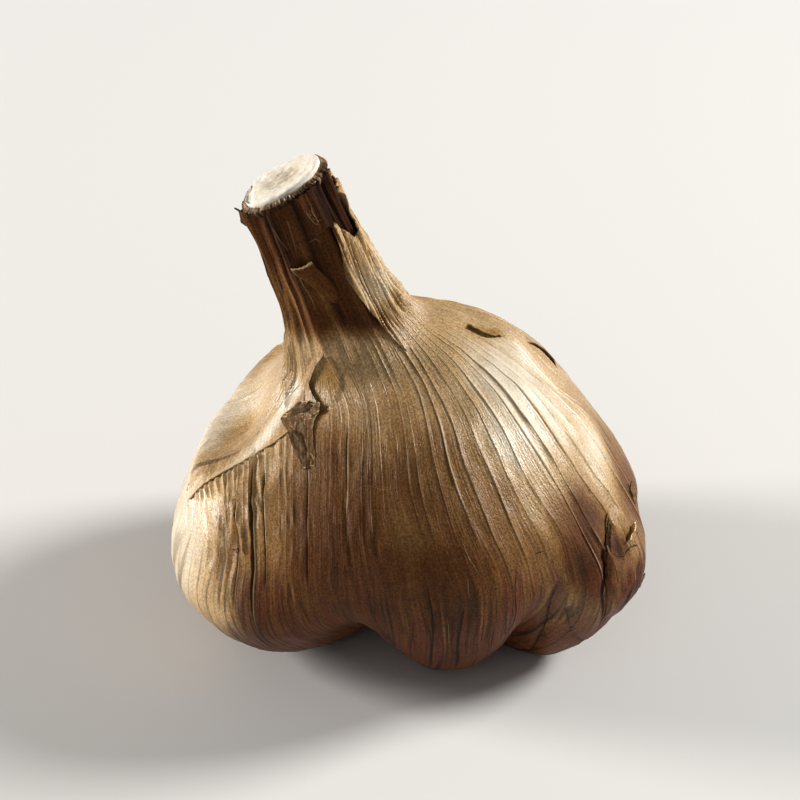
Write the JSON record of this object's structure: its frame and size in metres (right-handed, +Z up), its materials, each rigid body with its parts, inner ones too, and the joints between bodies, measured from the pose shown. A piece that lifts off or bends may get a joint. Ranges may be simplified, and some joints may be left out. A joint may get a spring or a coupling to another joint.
{
  "type": "black garlic bulb",
  "caption": "Whole aged garlic bulb in dry brown papery skin, standing on its root plate, with a leaning neck cut across to show the pale flower stalk.",
  "frame": {"origin": "middle of the root plate's flat underside, on the surface the bulb stands on", "axes": "+Z up, -Y the front, +X to the right; the neck leans towards -X"},
  "size_m": [0.0577, 0.0566, 0.0618],
  "materials": {
    "bulb_skin": "dry papery garlic skin, satin, tan to dark brown, fibres running from root to neck",
    "loose_skin": "torn and lifted garlic skin, satin, brown with pale torn edges",
    "stalk_flesh": "dry pithy cut stalk, matt, cream with a greyish streaky middle",
    "root_cork": "corky root plate with trimmed root stubs, matt, grey-brown"
  },
  "bodies": {
    "root": {"wrapped_bulb": "bulb_skin", "flower_stalk": "stalk_flesh", "root_plate": "root_cork", "neck_tongue": "loose_skin", "outer_neck_skin": "loose_skin", "window_flake": "loose_skin", "shoulder_flake": "loose_skin", "side_flake": "loose_skin"}
  },
  "joints": []
}
